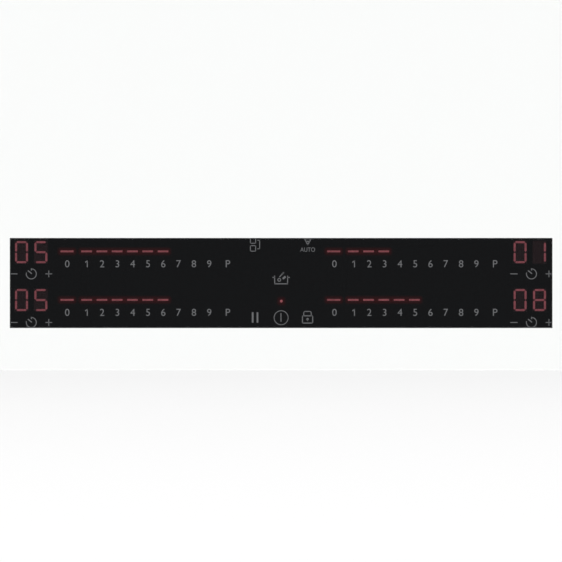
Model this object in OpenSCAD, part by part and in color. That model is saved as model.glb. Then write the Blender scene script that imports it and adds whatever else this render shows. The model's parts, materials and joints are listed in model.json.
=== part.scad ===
// Built-in induction hob with four zones and a glass touch-control window.
// Millimetres, +Z up. The origin is at the middle of the casing's underside.
// The user stands on the -Y side.

/* [Glass] */
// Width of the glass-ceramic plate
glass_w = 780; // [776:1:800]
// Depth of the plate, front to back
glass_d = 520; // [516:1:540]
// Thickness of the plate and of the control glass
glass_t = 4; // [3:0.5:6]
// Corner radius of the plate in plan
glass_corner_r = 4; // [1:0.5:8]

/* [Control window] */
// Width of the opening for the control glass
window_w = 344; // [342:0.5:348]
// Depth of that opening, front to back
window_d = 57.1; // [57:0.1:60]
// Distance of the opening behind the mounting frame's front edge
window_margin = 9; // [8:0.5:14]
// Width of the silicone joint round the control glass
joint_w = 0.4; // [0.3:0.1:1]
// Thickness of the black mask sheet under the control glass
mask_t = 0.3; // [0.2:0.05:0.5]

/* [Displays] */
// Height of a seven-segment numeral
digit_h = 14; // [12:0.1:14.4]
// Width of a numeral
digit_w = 8.2; // [7:0.1:8.8]
// Distance between the two numerals of a timer
digit_pitch = 12.3; // [11:0.1:12.6]
// Width of one segment
segment_w = 1.3; // [0.8:0.1:1.6]
// Distance of the left timers from the middle of the window
timer_left_x = 158.7; // [157:0.1:159]
// Distance of the right timers from the middle of the window
timer_right_x = 157.9; // [157:0.1:159]
// Distance between the rear and front timers
timer_pitch = 30.4; // [30:0.1:31]
// Distance between the rear and front sliders, and between their rows of keys
row_pitch = 30.8; // [30.4:0.1:31.2]
// Distance between the numbers 1 to 9 of a slider
slider_pitch = 9.7; // [9.4:0.05:9.8]
// Extra space after a slider's 0
zero_gap = 2.7; // [1:0.1:2.8]
// Extra space before a slider's boost letter
boost_gap = 1.8; // [1:0.1:2]
// Length of a slider's light bar
light_bar_l = 6.8; // [6:0.1:8.2]
// Length of the light bar over a slider's 0
zero_bar_l = 8.4; // [7:0.1:9.6]
// Width of a light bar
light_bar_w = 1.2; // [1:0.1:1.8]

/* [Worktop] */
// Width of the worktop cut-out that the hob drops into
cutout_w = 750; // [748:1:754]
// Depth of that cut-out
cutout_d = 490; // [489:1:494]
// Gap between the hob's frame and the cut-out on each side
cutout_gap = 3; // [2.5:0.5:4]
// Thickness of the foam seal on the worktop
seal_t = 2; // [1:0.5:3]
// Width of the foam seal
seal_w = 9; // [6:0.5:10]

/* [Casing] */
// Width of the sheet-metal tray
tray_w = 690; // [688:1:700]
// Height of the tray
tray_h = 47; // [46:0.5:54]
// Thickness of the sheet metal
sheet = 1; // [0.8:0.1:1.2]
// Height of the frame's skirt
skirt_h = 11; // [8:0.5:12]
// Length of a fixing clamp between its pivot and its screw
clamp_l = 48; // [40:1:52]
// Distance of the clamps from the middle, front to back
clamp_y = 130; // [110:1:150]

/* [Coils] */
// Distance of the zones from the middle, left and right
zone_x = 250; // [249:0.5:251]
// Distance between the front and rear zone
zone_pitch = 200; // [196:1:203]
// Outer radius of a winding
coil_r = 88; // [80:1:92]
// Diameter of the litz wire
wire_d = 3.8; // [3:0.1:4]
// Turns in a winding
turns = 17; // [10:1:17]
// Thickness of the ferrite bars
ferrite_t = 4; // [3:0.5:5]
// Thickness of the mica sheet
mica_t = 0.8; // [0.5:0.1:1.2]
// Thickness of the aluminium coil plate
plate_t = 1.5; // [1:0.1:2]
// How far a coil plate can be pressed down
coil_travel = 3; // [1:0.5:4]
// Length of a coil plate's spring at rest
spring_l = 18; // [14:0.5:20]

/* [Electronics] */
// Size of a cooling fan's square frame
fan_size = 80; // [70:1:84]
// Height of a fan
fan_h = 25; // [20:1:28]
// Thickness of the circuit boards
board_t = 1.6; // [1.2:0.1:2]
// Height of the supports under the boards
standoff_h = 7; // [5:0.5:8]
// Fins on a heatsink
fins = 12; // [6:1:14]

/* [Hidden] */
$fn = 48;
cut = 1; // how far a cutter runs past the face it cuts
running_gap = 0.05; // radial clearance of a pin in its bore
face_gap = 0.3; // clearance between moving flat faces

// Levels
floor_z = sheet;
frame_z = tray_h;
glass_z = frame_z + sheet;

// Plan sizes
frame_w = cutout_w - 2 * cutout_gap;
frame_d = cutout_d - 2 * cutout_gap;
tray_d = frame_d - 2 * sheet - 2 * face_gap;
window_y = -frame_d / 2 + window_margin + window_d / 2;
pair_y = 45; // middle of each front and rear pair of zones
zone_ys = [pair_y - zone_pitch / 2, pair_y + zone_pitch / 2];
SIDES = [-1, 1];

// Coil stack, from the glass down
mica_z = glass_z - mica_t;
winding_z = mica_z - wire_d;
ferrite_z = winding_z - ferrite_t;
plate_z = ferrite_z - plate_t;
spring_z = plate_z - spring_l;
plate_w = 174;
plate_d = zone_pitch + 2 * coil_r + 10;
post_x = plate_w / 2 - 7;
post_y = plate_d / 2 - 8;
winding_r = coil_r - wire_d / 2;
sensor_r = 6;
lead_r = 2;
lead_x = 46;
lead_y = sqrt(pow(winding_r - 3, 2) - pow(lead_x, 2));

// Power electronics
board_z = floor_z + standoff_h;
board_top = board_z + board_t;
power_board_w = 150;
power_board_l = plate_d - 34;
transistor_t = 5;
sink_w = 104;
sink_l = 86;
sink_base_t = 4;
sink_top = plate_z - coil_travel - 1;
cradle_t = 1.5;

// Fans and duct
fan_x = 62;
duct_w = 316;
duct_wall = 1.5;
duct_d = fan_size + 10;
duct_top = plate_z - 2;
fan_bore_r = fan_size / 2 - 2;
hub_r = 17;
shaft_r = 1.5;

// Filter board
filter_w = 290;
filter_l = 80;
filter_y = pair_y + duct_d / 2 + 8 + filter_l / 2;

// Control unit
housing_wall = 1.5;
housing_w = window_w + 4;
housing_d = window_d + 4;
display_t = 8;
mask_z = glass_z - mask_t;
control_board_z = mask_z - display_t - board_t;
display_z = control_board_z + board_t;
housing_z = control_board_z - 4;
control_board_w = housing_w - 2 * housing_wall - 1;
control_board_d = housing_d - 2 * housing_wall - 1;
timer_y = 19.6; // middle of the rear row's numerals, from the window's middle
light_y = timer_y + 0.5; // middle of the rear light bars
key_y = timer_y - 13.8; // timer keys, below their numerals
slider_x = [-135.9, 33.4]; // middle of the bar over each slider's 0, from the window's middle
centre_keys = [[-16.7, -22], [0, -22], [16.8, -22], [0, 2.6], [-16.8, 24], [16.9, 22.8]];
key_gap = 11.2; // between the minus, clock and plus keys
key_inset = 1; // the outer touch springs stand this much closer, to stay on the board
power_dot = [0.1, -11.5];
power_dot_r = 0.9;
display_w = 25;
display_d = 17.6;

// What the displays show: [left rear, right rear, left front, right front]
TIMERS = [[0, 5], [0, 1], [0, 5], [0, 8]];
LEVELS = [6, 3, 6, 5];
LIT = ["abcdef", "bc", "abged", "abgcd", "fgbc", "afgcd", "afgedc", "abc", "abcdefg", "abcdfg"];

// Bought-in electronic parts: length, depth and height, and their places on their boards
chip = [12, 12, 1.6];
chip_pitch = 60;
control_socket = [24, 8, 6];
buzzer_r = 5;
buzzer_h = 2;
resistor = [3, 1.6, 1];
resistor_pitch = 12;
film_cap = [28, 16, 18];
film_caps_x = [-48, -14];
film_caps_y = 66;
relay = [32, 20, 20];
relay_at = [36, 68];
can_r = 9;
can_h = 20;
cans_x = [-50, -24, 2];
cans_y = 96;
power_choke_r = 20;
power_choke_at = [42, 106];
lead_post = [12, 10, 8];
power_plug = [30, 10, 6];
power_plug_at = [-40, 124];
filter_choke_r = 18;
filter_choke_at = [70, 14];
line_cap = [26, 14, 20];
line_caps_x = [-110, -30, 34, 110];
line_caps_y = -20;
fuse_holder = [20, 24, 16];
fuse_at = [118, 18];
varistor_r = 6;
varistor_h = 3;
varistor_at = [8, 24];
filter_socket = [24, 9, 8];
mains_plug = [30, 5, 6];
mains_plug_at = [-60, 34];

// Terminal box, in the rear wall
box_w = 92;
box_d = 46;
box_x = 100;
box_z = floor_z;
box_h = 35;
box_wall = 2;
gland_r = 7;
gland_y = tray_d / 2 - 14;
hinge_r = 1;
knuckle_r = 2.2;
cover_y = tray_d / 2 - knuckle_r;
cover_z = box_z + box_h - box_wall - knuckle_r - 1;
cover_w = box_w - 2 * box_wall - 2 * face_gap;

// Fixing clamps, beside the tray
ear_z = 8;
ear_t = 1.5;
ear_w = 17;
ear_l = 24;
pivot_r = 2.5;
pivot_x = tray_w / 2 + 9.5;
arm_t = 2.5;
arm_z = ear_z - face_gap - arm_t;
arm_r = 6.5;
screw_out = 3; // how far the screw stands outside the pivot when parked
thread_r = 2.5;
nut_h = 3.5;
cap_h = 3;
lip_w = 12;
lip_l = 440;

// Places of the screws that hold the frame to the tray: along the front and back, and along the sides
front_screws = [for (i = [-2:2]) i * 150];
side_screws = [for (i = [-1:1]) i * 190];
front_screw_z = frame_z - skirt_h / 2;
side_screw_x = tray_w / 2 + lip_w / 2 + 1;
screw_r = 1.5;
screw_l = 5;

// Route of the ribbon through points in Y and Z
ribbon_w = 18;
ribbon_t = 0.8;
plug_y = window_y + control_board_d / 2 - 1; // rear face of the control board's connector
ribbon_low = floor_z + ribbon_t / 2;
ribbon_front = pair_y - duct_d / 2 - 5;
ribbon_rear = pair_y + duct_d / 2 + 4;
ribbon_run = [
  [plug_y + ribbon_t / 2, control_board_z - 3], [window_y + housing_d / 2 + 6, control_board_z - 3],
  [window_y + housing_d / 2 + 6, ribbon_low], [ribbon_front, ribbon_low],
  [ribbon_front, duct_top + ribbon_t / 2], [ribbon_rear, duct_top + ribbon_t / 2],
  [ribbon_rear, board_top + 6], [filter_y - filter_l / 2 + 3, board_top + 6]];

// ---- Helpers

// A block with its middle at [x, y] and its underside at z
module block(size, at = [0, 0, 0]) {
  translate([at[0] - size[0] / 2, at[1] - size[1] / 2, at[2]]) cube(size);
}

// A round post on [x, y], standing on z
module post(r, h, at = [0, 0, 0]) {
  translate(at) cylinder(r = r, h = h);
}

// A tube on [x, y], standing on z
module tube(r, bore, h, at = [0, 0, 0]) {
  difference() {
    post(r, h, at);
    translate([at[0], at[1], at[2] - cut]) cylinder(r = bore, h = h + 2 * cut);
  }
}

// A rectangular ring of outer size w by d and bar width bar
module ring(w, d, bar_x, bar_y, h, z) {
  difference() {
    block([w, d, h], [0, 0, z]);
    block([w - 2 * bar_x, d - 2 * bar_y, h + 2 * cut], [0, 0, z - cut]);
  }
}

// A slab with rounded corners in plan
module rounded_slab(w, d, h, r) {
  linear_extrude(h) union() {
    square([w - 2 * r, d], center = true);
    square([w, d - 2 * r], center = true);
    for (x = SIDES, y = SIDES) translate([x * (w / 2 - r), y * (d / 2 - r)]) circle(r = r);
  }
}

// A spring as one closed wire swept along a helix
module coil_spring(r, wire, length, coils) {
  sides = 6;
  steps = 9 * coils;
  pitch = (length - wire) / coils;
  ring_points = [for (i = [0:steps]) let (turn = i / 9) for (k = [0:sides - 1])
    let (a = 360 * k / sides, reach = r + wire / 2 * cos(a))
    [reach * cos(360 * turn), reach * sin(360 * turn), wire / 2 + pitch * turn + wire / 2 * sin(a)]];
  side_faces = [for (i = [0:steps - 1], k = [0:sides - 1])
    let (n = (k + 1) % sides, a = i * sides, b = a + sides) [a + k, b + k, b + n, a + n]];
  ends = [[for (k = [0:sides - 1]) k], [for (k = [sides - 1:-1:0]) steps * sides + k]];
  polyhedron(points = ring_points, faces = concat(side_faces, ends), convexity = 4);
}

// ---- Top

module glass_plate() {
  color("#f4f5f3") difference() {
    translate([0, 0, glass_z]) rounded_slab(glass_w, glass_d, glass_t, glass_corner_r);
    block([window_w, window_d, glass_t + 2 * cut], [0, window_y, glass_z - cut]);
  }
}

module control_glass() {
  color("#18191b") block([window_w - 2 * joint_w, window_d - 2 * joint_w, glass_t], [0, window_y, glass_z]);
}

module window_joint() {
  color("#1c1c1d") translate([0, window_y, 0]) ring(window_w, window_d, joint_w, joint_w, glass_t, glass_z);
}

module rim_seal() {
  inset = 2;
  long = glass_w - 2 * inset;
  side = glass_d - 2 * inset - 2 * seal_w;
  color("#202022") for (s = SIDES) {
    block([long, seal_w, seal_t], [0, s * (glass_d / 2 - inset - seal_w / 2), glass_z - seal_t]);
    block([seal_w, side, seal_t], [s * (glass_w / 2 - inset - seal_w / 2), 0, glass_z - seal_t]);
  }
}

module mounting_frame() {
  color("#9fa3a6") difference() {
    union() {
      ring(frame_w, frame_d, (frame_w - tray_w) / 2 + sheet, (frame_d - tray_d) / 2 + sheet, sheet, frame_z);
      ring(frame_w, frame_d, sheet, sheet, skirt_h, frame_z - skirt_h);
    }
    for (x = front_screws, s = SIDES)
      translate([x, s * frame_d / 2, front_screw_z]) rotate([90, 0, 0])
        cylinder(r = screw_r + running_gap, h = 4 * sheet, center = true);
    for (y = side_screws, s = SIDES)
      post(screw_r + running_gap, sheet + 2 * cut, [s * side_screw_x, y, frame_z - cut]);
  }
}

// ---- Control unit

// Calls its children at the middle of each timer, given in TIMERS' order
module at_timer(i) {
  row = i < 2 ? 0 : 1;
  x = i % 2 == 0 ? -timer_left_x : timer_right_x;
  translate([x, window_y + timer_y - row * timer_pitch, 0]) children();
}

// Place of number n of slider i, where 10 is the boost letter
function slider_place(i, n) = [
  slider_x[i % 2] + n * slider_pitch + (n > 0 ? zero_gap : 0) + (n > 9 ? boost_gap : 0),
  light_y - (i < 2 ? 0 : 1) * row_pitch];

// Length of the light bar over number n
function bar_length(n) = n == 0 ? zero_bar_l : light_bar_l;

// One segment lying along X, with pointed ends
module segment(length) {
  r = segment_w / 2;
  polygon([[-length / 2, 0], [-length / 2 + r, r], [length / 2 - r, r], [length / 2, 0],
    [length / 2 - r, -r], [-length / 2 + r, -r]]);
}

// Seven-segment numeral n about the origin
module numeral(n) {
  across = digit_w - segment_w;
  up = digit_h - segment_w;
  gap = 0.45;
  places = [["a", 0, up / 2, 0], ["b", across / 2, up / 4, 90], ["c", across / 2, -up / 4, 90],
    ["d", 0, -up / 2, 0], ["e", -across / 2, -up / 4, 90], ["f", -across / 2, up / 4, 90], ["g", 0, 0, 0]];
  for (p = places) if (len(search(p[0], LIT[n])) > 0)
    translate([p[1], p[2]]) rotate(p[3]) segment((p[3] == 0 ? across : up / 2) - gap);
}

module mask_sheet() {
  margin = 0.6;
  color("#0c0c0d") difference() {
    block([window_w - 2 * joint_w, window_d - 2 * joint_w, mask_t], [0, window_y, mask_z]);
    for (i = [0:3]) {
      at_timer(i) for (s = SIDES)
        block([digit_w + margin, digit_h + margin, mask_t + 2 * cut], [s * digit_pitch / 2, 0, mask_z - cut]);
      for (n = [0:LEVELS[i]]) {
        p = slider_place(i, n);
        block([bar_length(n) + margin, light_bar_w + margin, mask_t + 2 * cut],
          [p[0], window_y + p[1], mask_z - cut]);
      }
    }
    post(power_dot_r + margin / 2, mask_t + 2 * cut, [power_dot[0], window_y + power_dot[1], mask_z - cut]);
  }
}

module display_segments() {
  color("#e02020") for (i = [0:3]) at_timer(i) for (k = [0, 1])
    translate([(k - 0.5) * digit_pitch, 0, mask_z]) linear_extrude(mask_t) numeral(TIMERS[i][k]);
}

module slider_lights() {
  color("#e02020") {
    for (i = [0:3]) for (n = [0:LEVELS[i]]) {
      p = slider_place(i, n);
      block([bar_length(n), light_bar_w, mask_t], [p[0], window_y + p[1], mask_z]);
    }
    post(power_dot_r, mask_t, [power_dot[0], window_y + power_dot[1], mask_z]);
  }
}

module timer_displays() {
  color("#141415") for (i = [0:3]) at_timer(i) block([display_w, display_d, display_t], [0, 0, display_z]);
}

module light_guides() {
  color("#e9e9e4") {
    for (i = [0:3]) {
      p = slider_place(i, 0);
      q = slider_place(i, 10);
      block([q[0] - p[0] + light_bar_l + 4, light_bar_w + 4, display_t],
        [(p[0] + q[0]) / 2, window_y + p[1], display_z]);
    }
    block([6, 6, display_t], [power_dot[0], window_y + power_dot[1], display_z]);
  }
}

// Touch springs stand under the keys, with their coils closed up into one sleeve
module touch_springs() {
  wire = 1;
  r = 2.6;
  height = display_t;
  places = concat(
    [for (k = centre_keys) [k[0], k[1]]],
    [for (row = [0, 1], side = SIDES, k = [-1:1])
      [side * timer_left_x + k * (key_gap - key_inset), key_y - row * (row_pitch - key_inset)]]);
  color("#c9b26a") for (p = places) translate([p[0], window_y + p[1], display_z])
    rotate_extrude($fn = 24) union() {
      translate([r - wire / 2, 0]) square([wire / 2, height]);
      for (i = [0:height / wire - 1]) translate([r - wire / 2, i * wire]) square([wire, 0.7 * wire]);
    }
}

module control_board() {
  color("#1f5a3a") block([control_board_w, control_board_d, board_t], [0, window_y, control_board_z]);
}

module control_parts() {
  color("#2a2a2c") {
    for (i = [-2, -1, 1, 2]) block(chip, [i * chip_pitch, window_y, control_board_z - chip[2]]);
    block(control_socket, [0, plug_y - control_socket[1] / 2, control_board_z - control_socket[2]]);
    post(buzzer_r, buzzer_h, [-1.5 * chip_pitch, window_y, control_board_z - buzzer_h]);
    for (i = [-2.5:2.5])
      block(resistor, [i * resistor_pitch, window_y - resistor_pitch, control_board_z - resistor[2]]);
  }
}

module control_housing() {
  inner_w = housing_w - 2 * housing_wall;
  inner_d = housing_d - 2 * housing_wall;
  floor_top = housing_z + housing_wall;
  rib_h = control_board_z - floor_top;
  leg_x = housing_w / 2 - 8;
  leg_y = housing_d / 2 - 6;
  rib = 3;
  color("#1b1b1c") {
    difference() {
      block([housing_w, housing_d, glass_z - housing_z], [0, window_y, housing_z]);
      block([inner_w, inner_d, glass_z], [0, window_y, floor_top]);
      block([28, 16, 4 * housing_wall], [0, window_y + control_board_d / 2 - 4, housing_z - cut]);
      for (x = [-130:26:130]) if (abs(x) > 20)
        block([14, 30, 4 * housing_wall], [x, window_y, housing_z - cut]);
    }
    for (y = [-control_board_d / 2 + rib, control_board_d / 2 - rib - 14])
      block([inner_w - 40, rib, rib_h], [0, window_y + y, floor_top]);
    for (x = SIDES)
      block([rib, control_board_d, rib_h], [x * (control_board_w / 2 - rib / 2), window_y, floor_top]);
    for (x = SIDES, y = SIDES) tube(4, 1.3, housing_z - floor_z, [x * leg_x, window_y + y * leg_y, floor_z]);
  }
}

// Flat ribbon from the control board, over the duct, to the filter board
module control_ribbon() {
  color("#b8bcc2") for (i = [0:len(ribbon_run) - 2]) {
    a = ribbon_run[i];
    b = ribbon_run[i + 1];
    translate([-ribbon_w / 2, min(a[0], b[0]) - ribbon_t / 2, min(a[1], b[1]) - ribbon_t / 2])
      cube([ribbon_w, abs(b[0] - a[0]) + ribbon_t, abs(b[1] - a[1]) + ribbon_t]);
  }
}

// ---- Casing

// Parallel slots that fill a circle of radius r
module round_grille(r, depth) {
  pitch = 7;
  for (i = [-4:4]) {
    y = i * pitch;
    half = sqrt(max(0, r * r - y * y));
    if (half > 6) block([2 * half, 3.6, depth], [0, y, 0]);
  }
}

module casing_tray() {
  color("#aeb2b5") difference() {
    union() {
      difference() {
        block([tray_w, tray_d, tray_h], [0, 0, 0]);
        block([tray_w - 2 * sheet, tray_d - 2 * sheet, tray_h], [0, 0, floor_z]);
      }
      for (s = SIDES) {
        block([lip_w, lip_l, sheet], [s * (tray_w / 2 + lip_w / 2), 0, tray_h - sheet]);
        for (y = SIDES) block([ear_w, ear_l, ear_t], [s * (tray_w / 2 + ear_w / 2), y * clamp_y, ear_z]);
      }
      for (x = [-filter_w / 2 + 8, 0, filter_w / 2 - 8], y = SIDES)
        post(3.5, standoff_h, [x, filter_y + y * (filter_l / 2 - 6), floor_z]);
    }
    for (s = SIDES) translate([s * fan_x, pair_y, -cut]) round_grille(fan_bore_r - 2, sheet + 2 * cut);
    for (s = SIDES, x = [-60:15:60]) block([4, 46, sheet + 2 * cut], [s * zone_x + x, pair_y - 140, -cut]);
    for (s = SIDES, x = [0:10:110]) block([4, 4 * sheet, 16], [s * (190 + x), tray_d / 2, 14]);
    for (x = [-150:12:150]) block([4, 4 * sheet, 12], [x, -tray_d / 2, 12]);
    block([box_w + 2 * face_gap, 4 * sheet, box_h + face_gap], [box_x, tray_d / 2, box_z]);
    post(gland_r + 3 + face_gap, sheet + 2 * cut, [box_x, gland_y, -cut]);
    for (x = front_screws, s = SIDES) translate([x, s * tray_d / 2, front_screw_z]) rotate([90, 0, 0])
      cylinder(r = screw_r + running_gap, h = 4 * sheet, center = true);
    for (y = side_screws, s = SIDES)
      post(screw_r + running_gap, sheet + 2 * cut, [s * side_screw_x, y, tray_h - sheet - cut]);
    for (s = SIDES, y = SIDES)
      post(pivot_r + running_gap, ear_t + 2 * cut, [s * pivot_x, y * clamp_y, ear_z - cut]);
  }
}

// A pan-head screw along +Z with its head's underside at the origin
module screw(length) {
  difference() {
    translate([0, 0, -1.6]) cylinder(r = 2.8, h = 1.6);
    translate([0, 0, -1.6 - cut]) cylinder(r = 1, h = 0.8 + cut, $fn = 6);
  }
  cylinder(r = screw_r, h = length);
}

module casing_screws() {
  color("#c9ccd0") {
    for (x = front_screws, s = SIDES)
      translate([x, s * frame_d / 2, front_screw_z]) rotate([s * 90, 0, 0]) screw(screw_l);
    for (y = side_screws, s = SIDES) translate([s * side_screw_x, y, tray_h - sheet]) screw(2 * sheet);
  }
}

// ---- Terminal box

module terminal_box() {
  back = tray_d / 2;
  color("#2b2c2e") difference() {
    union() {
      block([box_w, box_d, box_h], [box_x, back - box_d / 2, box_z]);
      post(gland_r + 3, box_z + cut, [box_x, gland_y, 0]);
    }
    block([box_w - 2 * box_wall, box_d, box_h - 2 * box_wall],
      [box_x, back - box_d / 2 + box_wall, box_z + box_wall]);
    post(gland_r, box_h - box_wall, [box_x, gland_y, -cut]);
    translate([box_x, cover_y, cover_z]) rotate([0, 90, 0])
      cylinder(r = hinge_r + running_gap, h = box_w + 2 * cut, center = true);
  }
}

module terminal_block() {
  back = tray_d / 2;
  base_z = box_z + box_wall;
  color("#d8d6cf") difference() {
    block([70, 16, 16], [box_x, back - box_d + box_wall + 8, base_z]);
    for (i = [-2:2]) post(2.6, 20, [box_x + i * 13, back - box_d + box_wall + 5, base_z + 10]);
    for (i = [-2:2]) block([7, 12, 7], [box_x + i * 13, back - box_d + box_wall + 14, base_z + 2]);
  }
}

module terminal_cover() {
  plate_l = cover_z - box_z - box_wall - face_gap;
  color("#333437") {
    translate([box_x, cover_y, cover_z]) rotate([0, 90, 0])
      cylinder(r = knuckle_r, h = cover_w, center = true);
    block([cover_w, 2, plate_l], [box_x, cover_y + knuckle_r - 1, cover_z - plate_l]);
    translate([box_x, cover_y, cover_z]) rotate([0, 90, 0])
      cylinder(r = hinge_r, h = box_w - 0.4, center = true);
    for (x = [-24:8:24])
      block([2, 1, plate_l - 10], [box_x + x, cover_y + knuckle_r - 2.4, cover_z - plate_l + 4]);
  }
}

// ---- Fixing clamps

module clamp_rivets() {
  color("#c2c5c9") for (s = SIDES, y = SIDES) translate([s * pivot_x, y * clamp_y, 0]) {
    post(pivot_r, ear_z + ear_t + 1 - arm_z + 2 * face_gap, [0, 0, arm_z - 2 * face_gap]);
    post(pivot_r + 2, 1.2, [0, 0, arm_z - face_gap - 1.2]);
    post(pivot_r + 2, 1.2, [0, 0, ear_z + ear_t]);
  }
}

// The front clamps are parked pointing backwards and the rear ones forwards
module clamp_arm(side, row) {
  end = [side * screw_out, -row * clamp_l];
  color("#b9bcc0") translate([side * pivot_x, row * clamp_y, arm_z]) difference() {
    union() {
      linear_extrude(arm_t) {
        circle(r = arm_r);
        translate(end) circle(r = arm_r);
        rotate(atan2(end[1], end[0])) translate([0, -arm_r + 0.5]) square([norm(end), 2 * arm_r - 1]);
      }
      post(5, arm_t + nut_h, [end[0], end[1], 0]);
    }
    post(pivot_r + running_gap, arm_t + 2 * cut, [0, 0, -cut]);
    post(thread_r + running_gap, arm_t + nut_h + 2 * cut, [end[0], end[1], -cut]);
  }
}

module clamp_screw(side, row) {
  top = arm_z + arm_t + nut_h + 1;
  translate([side * (pivot_x + screw_out), row * (clamp_y - clamp_l), 0]) {
    color("#c9ccd0") difference() {
      post(thread_r, top - 0.5, [0, 0, 0.5]);
      translate([0, 0, 0.5 - cut]) cylinder(r = 1.5, h = 2.5 + cut, $fn = 6);
    }
    color("#3a3b3d") post(4.5, cap_h, [0, 0, top]);
  }
}

// ---- Power electronics

module board_cradle(side) {
  cradle_w = plate_w - 2;
  cradle_l = plate_d - 2;
  color("#d9d7cf") translate([side * zone_x, pair_y, floor_z]) {
    difference() {
      block([cradle_w, cradle_l, cradle_t]);
      for (y = [-120:60:120]) block([100, 40, 4 * cradle_t], [0, y, -cut]);
    }
    for (x = SIDES, y = SIDES) {
      post(6, spring_z - floor_z, [x * post_x, y * post_y, 0]);
      post(3, spring_z - floor_z + spring_l - coil_travel - 2, [x * post_x, y * post_y, 0]);
      for (k = [0, 1]) post(3, standoff_h, [x * (power_board_w / 2 - 6), y * (power_board_l / 2 - 8) * k, 0]);
    }
  }
}

module power_board(side) {
  color("#2c6b45") block([power_board_w, power_board_l, board_t], [side * zone_x, pair_y, board_z]);
}

module power_transistors() {
  color("#1d1d1f") for (s = SIDES, x = [-32, 0, 32], y = [-22, 22])
    block([16, 21, transistor_t], [s * zone_x + x, pair_y + y, board_top]);
}

module heatsink(side) {
  base_z = board_top + transistor_t;
  fin_t = 1.6;
  color("#b4b7ba") translate([side * zone_x, pair_y, base_z]) {
    block([sink_w, sink_l, sink_base_t]);
    for (i = [0:fins - 1]) {
      y = -sink_l / 2 + fin_t / 2 + i * (sink_l - fin_t) / (fins - 1);
      block([sink_w, fin_t, sink_top - base_z], [0, y, 0]);
    }
  }
}

// A wound toroid standing flat on z
module choke(r, at) {
  translate([at[0], at[1], at[2] + r * 0.4]) rotate_extrude() translate([r * 0.62, 0]) circle(r = r * 0.4);
}

module power_parts(side) {
  color("#c8a23a") translate([side * zone_x, pair_y, board_top]) for (y = SIDES) {
    for (x = film_caps_x) block(film_cap, [x, y * film_caps_y, 0]);
    block(relay, [relay_at[0], y * relay_at[1], 0]);
    for (x = cans_x) post(can_r, can_h, [x, y * cans_y, 0]);
    choke(power_choke_r, [power_choke_at[0], y * power_choke_at[1], 0]);
    for (x = SIDES) block(lead_post, [x * lead_x, y * (zone_pitch / 2 + lead_y), 0]);
    block(power_plug, [power_plug_at[0], y * power_plug_at[1], 0]);
  }
}

// ---- Coils

module coil_plate(side) {
  color("#c4c7ca") difference() {
    block([plate_w, plate_d, plate_t], [side * zone_x, pair_y, plate_z]);
    for (x = SIDES, y = SIDES) {
      post(lead_r + 1.6, plate_t + 2 * cut,
        [side * zone_x + x * lead_x, pair_y + y * (zone_pitch / 2 + lead_y), plate_z - cut]);
      post(3, plate_t + 2 * cut, [side * zone_x, pair_y + y * zone_pitch / 2, plate_z - cut]);
    }
  }
}

module ferrites(side) {
  bar_l = coil_r - 28;
  color("#3b3d40") for (y = zone_ys, a = [0:45:315])
    translate([side * zone_x, y, ferrite_z]) rotate(a + 22.5)
      block([bar_l, 12, ferrite_t], [24 + bar_l / 2, 0, 0]);
}

// Flat coils of turns side by side, with a groove between each two turns
module windings(side) {
  groove = 0.8;
  inner_r = coil_r - turns * wire_d;
  color("#b8693a") for (y = zone_ys) translate([side * zone_x, y, winding_z])
    rotate_extrude($fn = 96) union() {
      translate([inner_r, 0]) square([coil_r - inner_r, wire_d - groove]);
      for (i = [0:turns - 1]) translate([inner_r + i * wire_d, 0]) square([wire_d - groove, wire_d]);
    }
}

module mica(side) {
  color("#d9cfae") for (y = zone_ys) tube(coil_r + 1, sensor_r + 2, mica_t, [side * zone_x, y, mica_z]);
}

module sensors(side) {
  color("#e8e6e0") for (y = zone_ys) {
    post(sensor_r + 3, 2, [side * zone_x, y, ferrite_z]);
    post(sensor_r, glass_z - ferrite_z, [side * zone_x, y, ferrite_z]);
  }
}

module coil_springs(side) {
  color("#9ea2a6") for (x = SIDES, y = SIDES)
    translate([side * zone_x + x * post_x, pair_y + y * post_y, spring_z]) coil_spring(4.8, 1.2, spring_l, 5);
}

module coil_leads(side) {
  color("#c98a5a") for (x = SIDES, y = SIDES)
    post(lead_r, winding_z - board_top - 8,
      [side * zone_x + x * lead_x, pair_y + y * (zone_pitch / 2 + lead_y), board_top + 8]);
}

// ---- Fans

module fan_frame(side) {
  spider_h = 3;
  color("#232426") translate([side * fan_x, pair_y, floor_z]) difference() {
    union() {
      difference() {
        block([fan_size, fan_size, fan_h]);
        post(fan_bore_r, fan_h + 2 * cut, [0, 0, -cut]);
      }
      for (a = [45, 135]) rotate(a) block([2 * fan_bore_r + 4, 4, spider_h]);
      post(hub_r - 1, spider_h);
      post(4, fan_h - 11);
    }
    post(shaft_r + running_gap, fan_h, [0, 0, 1]);
    for (x = SIDES, y = SIDES)
      post(2.2, fan_h + 2 * cut, [x * (fan_size / 2 - 4.5), y * (fan_size / 2 - 4.5), -cut]);
  }
}

module fan_rotor(side) {
  low = 5;
  high = fan_h - 1.5;
  wall = 1.6;
  blade_r = fan_bore_r - 1.2;
  color("#2f3032") translate([side * fan_x, pair_y, floor_z]) {
    difference() {
      post(hub_r, high - low, [0, 0, low]);
      post(hub_r - wall, high - low, [0, 0, low - wall]);
    }
    post(shaft_r, high - 2, [0, 0, 1.5]);
    intersection() {
      difference() {
        post(blade_r, high - low - 2, [0, 0, low + 1]);
        post(hub_r - 0.6, high, [0, 0, 0]);
      }
      for (i = [0:6]) rotate(i * 360 / 7) translate([blade_r / 2, 0, (low + high) / 2])
        rotate([38, 0, 0]) cube([blade_r + 6, 1.4, 60], center = true);
    }
  }
}

module air_duct() {
  color("#c9cbc8") difference() {
    block([duct_w, duct_d, duct_top - floor_z], [0, pair_y, floor_z]);
    block([duct_w + 2 * cut, duct_d - 2 * duct_wall, duct_top - floor_z], [0, pair_y, floor_z - duct_wall]);
  }
}

// ---- Mains filter

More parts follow.
